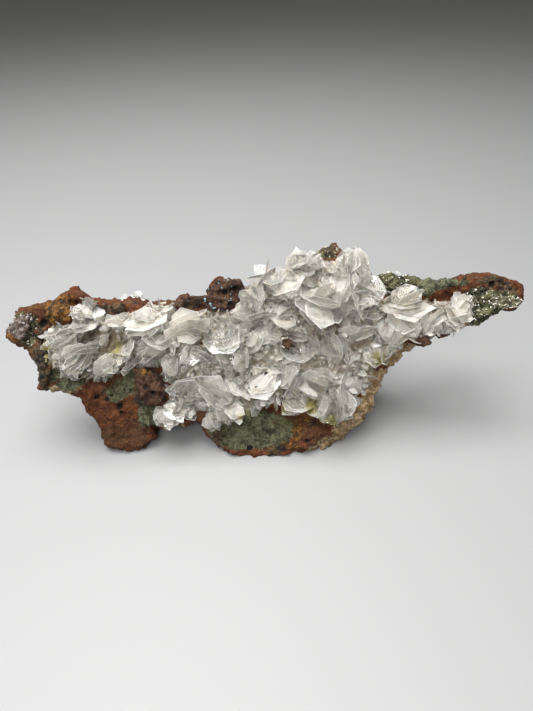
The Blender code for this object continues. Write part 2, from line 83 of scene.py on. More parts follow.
# Finishes of the rock as soft ellipsoids in the plate's frame: x, v, w, then half sizes.
ROCK_PATCHES = {
    "celadonite": [
        (-7, 11, 0, 18, 8.5, 5), (-20, 12, 0, 5, 8, 5), (-60, 31.5, -1, 5.5, 4, 6),
        (-54, 35, -2, 3.5, 7, 5), (-50, 24, -1, 3, 9, 5), (-76.7, 37.5, 1, 6, 3.2, 5),
        (-83.7, 42, 1, 3.4, 3, 5), (68, 71.4, 2, 9, 2.8, 5),
        (-83.1, 64.8, 3, 2, 2, 4), (62, 70, 0, 4, 4, 5), (-47, 20, -1, 3, 5, 4),
    ],
    "dark": [
        (-86.6, 47, 2, 2.6, 13, 6), (-84.7, 62.4, 3, 2.6, 2.4, 4), (-44.2, 67, -1, 7, 1.6, 5),
        (-62, 65, 2, 9, 1.6, 4), (2.6, 14, 1, 1.0, 1.0, 3), (4.1, 2.7, 1, 4.0, 2.4, 4),
        (87.8, 72.8, 3, 6.5, 2.0, 4), (25, 84.5, -2, 4, 2.5, 5),
        (-30.8, 63.6, 2, 4, 1.5, 4), (-21, 8, 1, 2.4, 4, 4), (-52.3, 31, 0, 1.6, 8, 4),
        (94, 70, 2, 4, 1.2, 4),
    ],
    "ochre": [
        (-77.7, 66.4, 3, 4.6, 6.0, 5), (12.0, 11, 3, 1.8, 3.6, 4), (18, 15, 3, 3.5, 3.5, 4),
        (9.5, 4.5, 2, 3.5, 2.0, 4), (-55.5, 27.6, 8, 4.0, 2.2, 5), (-82, 67, 3, 3, 3, 4),
        (-96.5, 58.5, 2, 3, 2, 4), (-44.5, 39, 8, 6, 1.6, 4),
    ],
    "tan": [
        (24, 4, -7, 12, 7, 9), (34, 10, -6, 10, 8, 9), (41, 18, -6, 10, 9, 9),
        (47, 28, -5, 9, 10, 9), (54, 38, -5, 9, 9, 7.5), (62, 46, -5, 9, 6, 6),
        (-82.4, 35, 1, 7, 2.2, 5), (-41.5, 12.6, -1, 8, 2.6, 4), (84, 56, 0, 6, 2.2, 5),
        (-10, 30, -38, 40, 25, 12), (45, 58, -16, 22, 12, 8),
    ],
    "maroon": [
        (-16.2, 67.1, 3, 9, 8.5, 9), (-29.5, 65.4, 3, 9, 3.4, 7), (-46, 33, 6, 8.5, 10, 6.5),
        (8.1, 48.2, 7, 4, 4, 5), (60.3, 49.4, 5, 5, 4, 5),
    ],
    "flecked": [(-19, 68, 3, 6, 7, 9), (-30, 65, 3, 4, 2, 6)],
    "rough": [
        (52.5, 71, 0, 9, 6, 6), (23.2, 83.8, -1, 6, 4, 6), (90.8, 66.1, 3, 8, 3.2, 5),
        (-92.2, 60.9, 3, 6, 7, 5), (84, 62, 1, 7, 8.5, 7),
    ],
}

# Holes in the rock's face: x, v, radius and depth.
PITS = [
    (-67.6, 30.4, 1.1, 1.4), (-64.0, 28.6, 0.9, 1.2), (-59.5, 25.0, 1.3, 1.6),
    (-59.2, 22.6, 0.9, 1.4), (-54.0, 10.5, 1.2, 1.4), (-62.0, 30.0, 0.7, 0.9),
    (-15.9, 68.2, 1.3, 1.6), (-11.6, 69.6, 1.0, 1.2), (-13.8, 63.4, 1.2, 1.4),
    (-17.4, 64.6, 0.8, 1.0), (-47.6, 33.5, 1.2, 1.2), (-44.6, 30.5, 0.9, 1.0),
    (-85.6, 62.0, 1.6, 2.0), (-82.6, 61.4, 1.1, 1.4), (87.0, 71.4, 1.4, 1.4),
    (92.4, 72.0, 1.2, 1.2), (-7.5, 3.4, 1.4, 1.6), (16.0, 7.0, 1.1, 1.2),
]

# The calcite field's outline on the plate, x and v.
FIELD = [
    (-86, 58.6), (-82, 61.6), (-75, 60), (-71, 64), (-72, 69), (-66, 66), (-60, 62), (-54.8, 63.4),
    (-39, 65.2), (-35.3, 61.4), (-24, 61.6), (-13.4, 60.8), (-8, 67), (-1.3, 69.8), (8, 76.5),
    (19, 79.6), (31.1, 80.6), (41, 76), (44.3, 63.5), (52.8, 69.6), (64.4, 64.6), (74, 65),
    (78.2, 68), (81.9, 62.9), (79.6, 57.3), (74.6, 53), (65.1, 50.4), (56.9, 49), (50.4, 42.5),
    (44, 36.5), (40, 27), (31.8, 18.6), (25.7, 13.4), (13.4, 23.4), (-2.2, 21.8), (-11.4, 13.8),
    (-20.9, 13.4), (-26.3, 20.7), (-36, 15.5), (-45, 15.5), (-45.6, 23.2), (-39.6, 26.1),
    (-39.8, 33.6), (-44.6, 41.5), (-52.5, 42), (-58.3, 40.2), (-62.5, 36), (-71.8, 37.6),
    (-81.6, 41.8), (-85.1, 47.1),
]

# The large crystals: x, v, radius, tilt of the disc's axis away from the plate's normal in
# degrees, and the direction in the plate, anticlockwise from +x, that it leans.
CRYSTALS = [
    (-79, 53, 5.4, 25, 200), (-75, 57, 6.1, 62, 121), (-69, 60, 5.8, 60, 100),
    (-70.5, 65, 4.2, 40, 100), (-67, 67.5, 3.6, 60, 60), (-66, 64.5, 4.4, 45, 80),
    (-74, 46, 6.9, 60, 126), (-71, 49.5, 7.3, 66, 115), (-62, 43, 6.4, 50, 320),
    (-58, 59, 4.5, 40, 70), (-46, 60, 9.0, 58, 100),
    (-31, 53.5, 10.0, 56, 110), (-43, 51, 5.8, 68, 240), (-54, 48, 5.3, 60, 145),
    (-46, 44.5, 6.9, 48, 300), (-37, 40, 5.5, 62, 350),
    (-30, 44, 5.1, 40, 120), (-17, 50, 8.6, 50, 95), (-15, 43, 6.3, 46, 20),
    (-9, 42, 6.7, 60, 190), (-26, 43, 5.9, 45, 60), (-32, 31, 7.9, 45, 280),
    (-22, 28, 8.4, 52, 230), (-15, 23, 7.6, 40, 340), (-22, 17, 4.8, 50, 200),
    (-3, 34, 8.4, 45, 110), (-11, 31, 6.4, 60, 60),
    (-5, 49, 6.2, 50, 150), (-10, 56, 5.6, 42, 60), (-7, 62, 5.2, 52, 200),
    (-5, 66, 6.2, 35, 170), (8, 71.5, 8.2, 58, 120), (1, 73.5, 6.2, 72, 138),
    (7, 59, 6.3, 40, 250), (-1, 57, 7.1, 55, 100), (3, 52, 5.5, 35, 60),
    (20, 63, 11.7, 64, 66), (13, 79.5, 4.8, 50, 100), (19, 80, 4.2, 40, 60),
    (28, 71, 9.6, 48, 150), (31, 79, 6.2, 52, 150),
    (37, 69, 10.4, 55, 20), (33, 65, 8.5, 60, 340),
    (39, 65, 6.2, 40, 300), (13, 50, 5.1, 55, 70),
    (25, 46, 8.3, 58, 200), (38, 50, 7.4, 46, 300), (12, 44, 7.5, 66, 80),
    (6, 36, 7.6, 50, 160), (20, 32, 7.6, 52, 250), (33, 29, 8.0, 52, 10),
    (27, 22, 8.8, 68, 5), (12, 23, 6.9, 70, 85), (20, 21, 5.2, 60, 130),
    (42, 43, 5.5, 45, 60), (13, 31, 6.4, 50, 340), (54, 62, 9.9, 70, 95),
    (56, 66.5, 4.9, 45, 90), (55, 55, 7.2, 56, 200), (65, 56, 6.8, 52, 330),
    (72, 58, 6.6, 54, 60), (76, 62.5, 7.1, 40, 30),
    (73, 55.5, 5.7, 50, 300), (52, 48.5, 6.6, 50, 320), (47, 53, 5.4, 50, 20),
    (-43, 20, 4.4, 62, 200), (-37, 23, 5.6, 45, 100), (-40, 17.5, 3.4, 60, 80),
]
# The pointed crystal at the top, and the two behind the rim.
PEAK = (35.5, 80.8, 8.4, 46, 12)
REAR_CRYSTALS = [(-55.5, 66.4, 3.4, 50, 110), (-51.5, 67.0, 3.4, 40, 70)]
CRYSTAL_HEIGHT = 3.6
REAR_HEIGHT = -4.0

# Brown chips and black grains on the calcite: x, v and half size; then dotted areas: x, v,
# half sizes and how many grains.
CHIP_SPOTS = [(8.1, 47.6, 2.5), (60.3, 49.4, 2.6), (31.0, 84.2, 1.2)]
DOTS = [(-0.3, 35.8, 0.9), (-6.2, 35.9, 0.5), (-4.3, 31.9, 0.6), (24.0, 28.8, 0.6), (2.0, 62.0, 0.5)]
DOTTED = [(27.2, 21.4, 3.0, 8.0, 16), (-43.4, 19.3, 5.0, 4.5, 12), (0.0, 40.0, 20.0, 16.0, 14)]

# Tints of the calcite, as soft ellipsoids like the rock's.
CALCITE_PATCHES = {
    "olive": [
        (-10.4, 18.5, 1, 3, 3, 6), (7, 21, 1, 7, 3, 6), (17, 21.5, 1, 6, 3.6, 6),
        (25, 16, 1, 6, 4, 6), (43.4, 41, 1, 4, 4, 6), (-84.5, 50, 1, 1.6, 6, 6),
        (58, 48.5, 1, 5, 2.2, 5), (-58.7, 50, 4, 2.4, 3.4, 4),
    ],
    "white": [(64, 57, 3, 20, 10, 9), (-40, 54, 3, 14, 8, 9), (-59, 60, 3, 6, 5, 9)],
    # The brown patches sit low, at the crystals' roots in the hollows: part stain, part painted shade.
    "brown": [
        (31, 50, 0, 16, 7, 4.0), (-62, 52, 0, 6, 5, 3.6), (-15, 35, 0, 4, 3, 2.8),
        (-6, 25, 0, 5, 4, 3.0), (14, 61, 0, 7, 4, 4.0), (8, 52, 0, 5, 3, 3.6),
        (-68, 56, 0, 8, 4, 3.0), (48, 58, 0, 5, 5, 3.4),
    ],
}
# How milky the calcite is, by the kind of face: clear crystals, crystals' rims, milky crystals.
CLEAR, RIM, MILKY = range(3)
MILK = (0.02, 0.36, 0.13)
# Where most crystals are milky: x, v, w, then half sizes.
SUGARY = [(-14.7, 22.6, 3, 7, 9, 9), (62, 56, 3, 18, 11, 9), (-59, 60, 3, 6, 5, 9)]
ZONE_EDGES = (-27.0, 22.0)
CRUST_STEP = 0.8
SEED = 7


class Value:
    """A socket of a finish, used in ordinary arithmetic."""

    def __init__(self, finish, socket):
        self.finish = finish
        self.socket = socket

    def math(self, operation, first, second):
        return self.finish.node("ShaderNodeMath", {"operation": operation}, {0: first, 1: second})

    def __add__(self, other):
        return self.math("ADD", self, other)

    def __sub__(self, other):
        return self.math("SUBTRACT", self, other)

    def __rsub__(self, other):
        return self.math("SUBTRACT", other, self)

    def __mul__(self, other):
        return self.math("MULTIPLY", self, other)

    __radd__ = __add__
    __rmul__ = __mul__


class Finish:
    """A material with one Principled shader, whose sockets are set by expressions."""

    def __init__(self, name):
        self.material = bpy.data.materials.new(name)
        self.material.use_nodes = True
        self.tree = self.material.node_tree
        self.shader = self.tree.nodes["Principled BSDF"]
        self.place = self.node("ShaderNodeTexCoord", output="Object")

    def connect(self, socket, value):
        if isinstance(value, Value):
            self.tree.links.new(value.socket, socket)
        else:
            socket.default_value = value

    def node(self, kind, settings=None, inputs=None, output=0):
        """Adds a node: its settings first, then its sockets' values or links."""
        made = self.tree.nodes.new(kind)
        for key, value in (settings or {}).items():
            setattr(made, key, value)
        for key, value in (inputs or {}).items():
            self.connect(made.inputs[key], value)
        return Value(self, made.outputs[output])

    def surface(self, **sockets):
        """Sets the shader's sockets, named with underscores for spaces."""
        for name, value in sockets.items():
            self.connect(self.shader.inputs[name.replace("_", " ")], value)

    def blend(self, factor, shader):
        """Lays a second shader over the first, by factor."""
        both = self.node("ShaderNodeMixShader", {}, {0: factor, 2: shader})
        self.tree.links.new(self.shader.outputs[0], both.socket.node.inputs[1])
        self.tree.links.new(both.socket, self.tree.nodes["Material Output"].inputs["Surface"])

    def absorb(self, colour, density):
        volume = self.node("ShaderNodeVolumeAbsorption", {}, {"Color": colour, "Density": density})
        self.tree.links.new(volume.socket, self.tree.nodes["Material Output"].inputs["Volume"])

    def noise(self, size, detail=3.0, roughness=0.55, distortion=0.0):
        """Noise from 0 to 1 whose lumps are about size millimetres across."""
        return self.node("ShaderNodeTexNoise", {}, {
            "Vector": self.place, "Scale": 1.0 / (size * MM), "Detail": detail,
            "Roughness": roughness, "Distortion": distortion})

    def cells(self, size, feature="F1", output="Distance"):
        return self.node("ShaderNodeTexVoronoi", {"feature": feature}, {
            "Vector": self.place, "Scale": 1.0 / (size * MM)}, output)

    def attribute(self, name):
        return self.node("ShaderNodeAttribute", {"attribute_name": name}, output="Fac")

    def step(self, value, low, high):
        """0 below low, 1 above high, smooth between."""
        return self.node("ShaderNodeMapRange", {"interpolation_type": "SMOOTHSTEP"}, {
            "Value": value, "From Min": low, "From Max": high})

    def mix(self, factor, first, second):
        return self.node("ShaderNodeMix", {"data_type": "RGBA"}, {0: factor, 6: first, 7: second}, 2)

    def shaded(self, base, light):
        """A colour made darker or lighter by a value round 1."""
        return self.node("ShaderNodeMix", {"data_type": "RGBA", "blend_type": "MULTIPLY"}, {
            0: 1.0, 6: base, 7: light}, 2)

    def bump(self, height, distance, strength=1.0):
        return self.node("ShaderNodeBump", {}, {
            "Height": height, "Distance": distance * MM, "Strength": strength})


def colour(red, green, blue):
    """A colour from its 0 to 255 screen values."""
    return tuple((part / 255.0) ** 2.2 for part in (red, green, blue)) + (1.0,)


def curl(x):
    """How far the plate's ends come forward at x."""
    reach = CURL_LEFT if x < 0 else CURL_RIGHT
    return reach * (x / HALF_LENGTH) ** 2


def plate(x, v, w):
    """The place of plate coordinates, in metres."""
    y = FRONT_Y + v * math.cos(LEAN) - curl(x) - w * math.sin(LEAN)
    z = v * math.sin(LEAN) + w * math.cos(LEAN)
    return (Vector((x, y, z)) + SHIFT) * MM


def on_plate(point):
    """The plate coordinates of a place in metres."""
    x, y, z = point / MM - SHIFT
    y += curl(x) - FRONT_Y
    v = y * math.cos(LEAN) + z * math.sin(LEAN)
    w = z * math.cos(LEAN) - y * math.sin(LEAN)
    return Vector((x, v, w))


def plate_axes():
    """The plate's x, v and w directions as a rotation."""
    right = Vector((1.0, 0.0, 0.0))
    up = Vector((0.0, math.cos(LEAN), math.sin(LEAN)))
    out = Vector((0.0, -math.sin(LEAN), math.cos(LEAN)))
    return Matrix((right, up, out)).transposed()


PLATE_AXES = plate_axes()


def disc_turn(tilt, lean, spin):
    """The rotation of a disc whose axis tilts by tilt towards lean in the plate."""
    swing = Matrix.Rotation(math.radians(lean), 3, "Z") @ Matrix.Rotation(math.radians(tilt), 3, "Y")
    return PLATE_AXES @ swing @ Matrix.Rotation(math.radians(spin), 3, "Z")


def inside(x, v, outline):
    """Whether a point lies inside a closed outline."""
    odd = False
    for (xa, va), (xb, vb) in zip(outline, outline[1:] + outline[:1]):
        if (va > v) != (vb > v) and x < (xb - xa) * (v - va) / (vb - va) + xa:
            odd = not odd
    return odd


def depth_inside(x, v, outline):
    """How far a point lies inside a closed outline; below 0 outside it."""
    here = Vector((x, v))
    nearest = 1e9
    for start, end in zip(outline, outline[1:] + outline[:1]):
        spot, share = intersect_point_line(here, Vector(start), Vector(end))
        spot = Vector(start).lerp(Vector(end), max(0.0, min(1.0, share)))
        nearest = min(nearest, (here - spot).length)
    return nearest if inside(x, v, outline) else -nearest


def cover(patches, place):
    """How deep a plate place lies in soft patches: 0 outside, 0.5 at an edge, 1 inside."""
    best = 0.0
    for x, v, w, half_x, half_v, half_w in patches:
        reach = math.sqrt(((place.x - x) / half_x) ** 2 + ((place.y - v) / half_v) ** 2
                          + ((place.z - w) / half_w) ** 2)
        depth = (1.0 - reach) * min(half_x, half_v)
        best = max(best, 0.5 + depth / PATCH_EDGE)
    return min(best, 1.0)


def keep_in_box(bm):
    """Holds every point inside the solids' box."""
    low, high = CAD_BOX
    for vert in bm.verts:
        for axis in range(3):
            vert.co[axis] = min(max(vert.co[axis], low[axis]), high[axis])


def piece(name, bm, finish, sharp=None):
    """Makes a finished piece of a bmesh and lets it ride with the specimen."""
    keep_in_box(bm)
    mesh = bpy.data.meshes.new(name)
    bm.to_mesh(mesh)
    bm.free()
    mesh.materials.append(finish.material)
    if sharp is not None:
        mesh.shade_smooth()
        mesh.set_sharp_from_angle(angle=math.radians(sharp))
    item = bpy.data.objects.new(name, mesh)
    bpy.context.scene.collection.objects.link(item)
    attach(item, "root")
    return item


def rock_finish():
    finish = Finish("altered_basalt")
    grit = finish.noise(0.5, 2.0, 0.6)
    fine = finish.noise(1.2, 3.0, 0.7)
    mottle = finish.noise(3.5, 4.0, 0.65)
    broad = finish.noise(14.0, 3.0, 0.5)
    ragged = (finish.noise(2.0, 5.0, 0.7) - 0.5) * 1.4
    dots = finish.step(fine, 0.42, 0.62)

    def mask(name, softness=0.06):
        return finish.step(finish.attribute(name) + ragged, 0.5 - softness, 0.5 + softness)

    def grained(dark, light):
        return finish.mix(finish.step(mottle + (fine - 0.5) * 0.8, 0.38, 0.62), dark, light)

    basalt = grained(colour(84, 42, 18), colour(114, 68, 36))
    basalt = finish.mix(finish.step(broad, 0.46, 0.62) * 0.8, basalt, colour(90, 62, 38))
    tan = grained(colour(134, 108, 76), colour(194, 170, 134))
    maroon = grained(colour(54, 34, 24), colour(96, 68, 50))
    flecks = finish.step(finish.noise(1.3, 1.0, 0.4), 0.66, 0.7) * mask("flecked")
    maroon = finish.mix(flecks * 0.9, maroon, colour(150, 188, 200))
    green = grained(colour(64, 65, 46), colour(110, 112, 86))
    green = finish.mix(finish.step(broad, 0.54, 0.68) * 0.5, green, colour(92, 84, 48))
    ochre = grained(colour(60, 42, 24), colour(138, 96, 42))
    black = grained(colour(30, 24, 17), colour(98, 80, 56))
    rough = grained(colour(40, 42, 26), colour(112, 110, 78))

    shade = finish.mix(mask("tan"), basalt, tan)
    shade = finish.mix(mask("maroon"), shade, maroon)
    shade = finish.mix(mask("celadonite"), shade, green)
    shade = finish.mix(mask("rough"), shade, rough)
    shade = finish.mix(mask("ochre"), shade, ochre)
    black_mask = mask("dark")
    shade = finish.mix(black_mask, shade, black)
    shade = finish.shaded(shade, finish.step(grit, 0.3, 0.7) * 0.48 + 0.38)
    shade = finish.mix(finish.step(fine, 0.40, 0.32) * 0.85, shade, colour(20, 15, 11))
    # Painted shade: the pits' floors are painted near black, darkest where they are deepest.
    shade = finish.mix(finish.step(finish.attribute("pit"), 0.15, 0.7), shade, colour(16, 11, 9))
    finish.surface(
        Base_Color=shade,
        Roughness=0.9 - black_mask * 0.5 - finish.step(grit, 0.66, 0.74) * 0.35,
        Specular_IOR_Level=0.3,
        Normal=finish.bump(dots * 0.6 + finish.step(grit, 0.3, 0.7) * 0.4, 0.6, 1.0),
    )
    return finish


def broken(place, size):
    """The height of flat broken faces about size across, in either direction from 0."""
    centre = noise.voronoi(place / size)[1][0]
    return noise.noise_vector(centre * 3.7).dot(place / size - centre) * size


def rock_relief(place, cover_of):
    """How far the rock's surface stands out at a plate place, in millimetres."""
    relief = 0.55 * broken(place, 7.0) + 0.5 * broken(place + Vector((3, 1, 8)), 3.2)
    relief += 0.4 * noise.noise(place / 2.2 + Vector((4, 9, 2)))
    relief += 0.3 * noise.noise(place / 1.2 + Vector((8, 1, 6)))
    grain = 0.5 - noise.voronoi(place / 1.8)[0][0]
    relief += grain * (0.3 + 0.7 * cover_of["celadonite"] + 1.1 * cover_of["rough"])
    lump = abs(noise.noise(place / 2.6 + Vector((2, 5, 7))))
    relief += lump * (1.2 * cover_of["tan"] + 1.6 * cover_of["ochre"] + 0.9 * cover_of["dark"])
    return relief - 0.2


def pit_depth(place):
    """Depth of the holes at a plate place, in millimetres."""
    depth = 0.0
    if place.z < -3.0:
        return depth
    for x, v, radius, deep in PITS:
        share = ((place.x - x) ** 2 + (place.y - v) ** 2) / radius ** 2
        if share < 1.0:
            depth = max(depth, deep * (1.0 - share) ** 0.7)
    return depth


def remeshed(node, voxel):
    """A fine, even copy of a node's surface, with its corners eased."""
    bm = bmesh.new()
    bm.from_mesh(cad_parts[node].data)
    bmesh.ops.remove_doubles(bm, verts=bm.verts, dist=1e-6)
    mesh = bpy.data.meshes.new("blank")
    bm.to_mesh(mesh)
    blank = bpy.data.objects.new("blank", mesh)
    bpy.context.scene.collection.objects.link(blank)
    remesh = blank.modifiers.new("voxels", "REMESH")
    remesh.mode = "VOXEL"
    remesh.voxel_size = voxel * MM
    bm.clear()
    bm.from_object(blank, bpy.context.evaluated_depsgraph_get())
    bpy.data.objects.remove(blank, do_unlink=True)
    for _ in range(2):
        bmesh.ops.smooth_vert(bm, verts=bm.verts, factor=0.5, use_axis_x=True, use_axis_y=True,
                              use_axis_z=True)
    bm.normal_update()
    return bm


def rock():
    """The matrix, with relief and the soft borders of its finishes, and where grains may sit."""
    bm = remeshed("matrix", ROCK_VOXEL)
    layers = {name: bm.verts.layers.float.new(name) for name in list(ROCK_PATCHES) + ["pit"]}
    seats = {name: [] for name in ROCK_PATCHES}
    shifts = []
    for vert in bm.verts:
        place = on_plate(vert.co)
        wander = noise.noise_vector(place / 4.0) * 1.6
        wander += noise.noise_vector(place / 14.0) * max(0.0, -place.z - 8.0) * 0.9
        cover_of = {name: cover(patches, place + wander) for name, patches in ROCK_PATCHES.items()}
        pit = pit_depth(place)
        for name, value in cover_of.items():
            vert[layers[name]] = value
            if value > 0.5 and pit == 0.0:
                seats[name].append((vert.co.copy(), vert.normal.copy()))
        # The pit depth kept here paints the pits dark, as painted shade.
        vert[layers["pit"]] = pit
        shifts.append(vert.normal * (rock_relief(place, cover_of) - pit) * MM)
    for vert, shift in zip(bm.verts, shifts):
        vert.co += shift
    tree = BVHTree.FromBMesh(bm)
    item = piece("rock", bm, rock_finish(), sharp=180)
    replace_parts(item, "matrix")
    return seats, tree


def grain_finish(name, tint, shade, clearness):
    """Small bright crystals, each grain a little different."""
    finish = Finish(name)
    base = finish.mix(finish.step(finish.noise(1.4, 2.0), 0.35, 0.65), tint, shade)
    finish.surface(Base_Color=base, Roughness=0.12, IOR=1.55, Transmission_Weight=clearness,
                   Normal=finish.bump(finish.noise(0.3, 2.0), 0.05, 0.3))
    return finish


def grains(name, seats, count, sizes, finish, seed):
    """Small faceted crystals seated on a surface."""
    chance = random.Random(seed)
    blank = bpy.data.meshes.new("grain_blank")
    bm = bmesh.new()
    bmesh.ops.create_cone(bm, cap_ends=True, segments=5, radius1=0.55, radius2=0.16, depth=1.0)
    bm.to_mesh(blank)
    bm.clear()
    start = 0
    for _ in range(count):
        spot, normal = chance.choice(seats)
        lean = Vector([chance.uniform(-0.7, 0.7) for _ in range(3)])
        turn = (normal + lean).normalized().to_track_quat("Z", "Y").to_matrix()
        size = chance.uniform(*sizes) * MM
        shape = turn @ Matrix.Diagonal((size, size * chance.uniform(0.7, 1.0), size * 1.3))
        bm.from_mesh(blank)
        bm.verts.ensure_lookup_table()
        centre = spot + normal * size * 0.2
        for vert in bm.verts[start:]:
            vert.co = centre + shape @ vert.co
        start = len(bm.verts)
    bpy.data.meshes.remove(blank)
    return piece(name, bm, finish)


def druse(node, finish, relief):
    """One druse's lumpy ground, and where its crystals sit."""
    bm = remeshed(node, 0.45)
    seats = []
    for vert in bm.verts:
        place = on_plate(vert.co)
        lump = 0.5 - noise.voronoi(place / 1.8)[0][0]
        vert.co += vert.normal * (relief * lump + 0.2 * noise.noise(place / 0.9)) * MM
        seats.append((vert.co.copy(), vert.normal.copy()))
    item = piece(node + "_ground", bm, finish, sharp=180)
    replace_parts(item, node)
    return seats


def left_druse_finish():
    finish = Finish("grey_druse")
    mottle = finish.noise(2.0, 4.0, 0.6)
    base = finish.mix(finish.step(mottle, 0.35, 0.6), colour(54, 42, 32), colour(88, 77, 70))
    base = finish.mix(finish.step(finish.noise(1.1, 3.0), 0.58, 0.7), base, colour(84, 52, 34))
    finish.surface(Base_Color=base, Roughness=0.35, IOR=1.54,
                   Normal=finish.bump(finish.noise(0.5, 3.0), 0.3, 0.7))
    return finish


def right_druse_finish():
    finish = Finish("olive_druse")
    mottle = finish.noise(1.5, 4.0, 0.6)
    base = finish.mix(finish.step(mottle, 0.35, 0.6), colour(38, 36, 22), colour(80, 76, 52))
    base = finish.mix(finish.step(finish.noise(0.9, 3.0), 0.62, 0.7), base, colour(150, 146, 122))
    finish.surface(Base_Color=base, Roughness=0.45, IOR=1.54,
                   Normal=finish.bump(finish.noise(0.5, 3.0), 0.3, 0.7))
    return finish


def calcite_finish():
    """Calcite whose shader is part clear crystal and part milky, by the faces' milk."""
    finish = Finish("calcite")
    veil = finish.noise(2.2, 3.0, 0.6)
    wisps = finish.noise(0.7, 3.0, 0.6, 1.5)
    # Brown at the crystals' roots in the hollows: part stain, part painted shade.
    brown = finish.step(finish.attribute("brown") + (veil - 0.5) * 0.8, 0.3, 0.9)
    olive = finish.step(finish.attribute("olive") + (veil - 0.5) * 0.6, 0.35, 0.75)
    base = finish.mix(brown * 0.6, colour(255, 253, 248), colour(240, 226, 202))
    base = finish.mix(olive * 0.9, base, colour(220, 212, 134))
    ripple = finish.bump(finish.noise(0.9, 2.0, 0.5), 0.06, 0.6)
    finish.surface(
        Base_Color=base,
        Roughness=0.02 + finish.step(wisps, 0.55, 0.75) * 0.15,
        Normal=ripple,
        Transmission_Weight=0.93,
        IOR=1.49,
    )
    finish.absorb(colour(255, 252, 243), 30.0)
    white = finish.mix(finish.step(wisps, 0.4, 0.65), colour(232, 224, 208), colour(255, 252, 245))
    white = finish.mix(brown * 0.8, white, colour(190, 174, 148))
    white = finish.mix(olive * 0.85, white, colour(184, 176, 96))
    frost = finish.node("ShaderNodeBsdfPrincipled", {}, {
        "Base Color": white, "Roughness": 0.3, "IOR": 1.49, "Normal": ripple,
        "Subsurface Weight": 1.0, "Subsurface Radius": (1.0, 0.95, 0.88), "Subsurface Scale": 0.8 * MM})
    cloud = finish.step(veil + (wisps - 0.5) * 0.5, 0.3, 0.7)
    finish.blend(finish.attribute("milk") * (cloud * 0.8 + 0.6) + finish.attribute("white") * 0.15, frost)
    return finish


def rhomb_blank(sides, reaches, curve, trim, kind=CLEAR, width=1.0):
    """A unit disc crystal: a very flat rhombohedron with corners trimmed to a share of their
    reach, rings at the reaches, by curve a crown, and narrowed to its width. Its faces' material
    is their kind."""
    rings = len(reaches)
    bm = bmesh.new()
    bmesh.ops.create_uvsphere(bm, u_segments=sides, v_segments=2 * rings, radius=1.0)
    third = math.tau / 3.0
    rim_verts = set()
    for vert in bm.verts:
        up = vert.co.z > 1e-4
        rim = abs(vert.co.z) < 1e-4
        ring = round(math.acos(max(-1.0, min(1.0, abs(vert.co.z)))) / (math.pi / 2.0) * rings)
        reach = reaches[ring - 1] if ring else 0.0
        if ring >= rings - 1:
            rim_verts.add(vert)
        angle = math.atan2(vert.co.y, vert.co.x)
        above = max(math.cos(angle - third * part) for part in range(3))
        below = max(math.cos(angle - third * (part + 0.5)) for part in range(3))
        across = reach * min(1.5 / (above + below), trim)
        high = 1.0 - above * across / 0.75
        low = below * across / 0.75 - 1.0
        crown = (1.0 - reach ** 2) * (0.0 if rim else 1.0 if up else -1.0)
        level = (high + low) / 2.0 if rim else high if up else low
        height = level * (1.0 - curve) + (crown + reach ** 2 * (high + low) / 2.0) * curve
        vert.co = Vector((math.cos(angle) * across, math.sin(angle) * across * width, height))
    for face in bm.faces:
        face.material_index = RIM if all(vert in rim_verts for vert in face.verts) else kind
    mesh = bpy.data.meshes.new("rhomb_blank")
    bm.to_mesh(mesh)
    bm.free()
    for _ in MILK:
        mesh.materials.append(None)
    return mesh


class Crystals:
    """Disc crystals that have grown into each other: their shapes, in millimetres, then one skin."""

    def __init__(self, seed):
        self.chance = random.Random(seed)
        self.shapes = []

    def add(self, blanks, centre, radius, thickness, turn, lengthening=0.14):
        """Adds one crystal of any of the blanks: centre in metres, sizes in millimetres."""
        chance = self.chance
        blank = chance.choice(blanks)
        if cover(SUGARY, on_plate(centre)) > 0.5 and chance.random() < 0.8:
            blank = blanks[-1]
        stretch = 1.0 + chance.uniform(-0.1, 0.1) + max(0.0, chance.gauss(0.0, lengthening))
        sizes = Matrix.Diagonal((radius * stretch, radius / stretch, thickness / 2.0))
        mesh = blank.copy()
        mesh.transform(Matrix.Translation(centre / MM) @ (turn @ sizes).to_4x4())
        above = max(vert.co.z for vert in mesh.vertices) - CAD_BOX[1][2] / MM
        if above > 0.0:
            mesh.transform(Matrix.Translation(PLATE_AXES.col[1] * -above / math.sin(LEAN)))
        self.shapes.append((centre.x, mesh))

    def skin(self):
        """One closed mesh round all the crystals, joined neighbour by neighbour."""
        shapes = [mesh for _, mesh in sorted(self.shapes, key=lambda shape: shape[0])]
        first = bpy.data.objects.new("first", shapes[0])
        second = bpy.data.objects.new("second", shapes[0])
        for item in (first, second):
            bpy.context.scene.collection.objects.link(item)
        union = first.modifiers.new("union", "BOOLEAN")
        union.operation = "UNION"
        union.solver = "MANIFOLD"
        union.object = second
        graph = bpy.context.evaluated_depsgraph_get()
        while len(shapes) > 1:
            pairs = []
            for one, other in zip(shapes[::2], shapes[1::2]):
                first.data = one
                second.data = other
                graph.update()
                pairs.append(bpy.data.meshes.new_from_object(first.evaluated_get(graph)))
            if len(shapes) % 2:
                pairs.append(shapes[-1])
            shapes = pairs
        bm = bmesh.new()
        bm.from_mesh(shapes[0])
        for item in (first, second):
            bpy.data.objects.remove(item, do_unlink=True)
        bmesh.ops.scale(bm, vec=(MM, MM, MM), verts=bm.verts)
        bmesh.ops.triangulate(bm, faces=bm.faces)
        return bm

    def finish(self, name, finish):
        bm = self.skin()
        milk = bm.faces.layers.float.new("milk")
        for face in bm.faces:
            face[milk] = MILK[face.material_index]
            face.material_index = 0
        layers = {key: bm.verts.layers.float.new(key) for key in CALCITE_PATCHES}
        for vert in bm.verts:
            place = on_plate(vert.co)
            for key, layer in layers.items():
                vert[layer] = cover(CALCITE_PATCHES[key], place)
        return piece(name, bm, finish)


def zone_at(zones, x):
    """The part of the field, from left to right, that a crystal at x belongs to."""
    return zones[sum(x > edge for edge in ZONE_EDGES)]


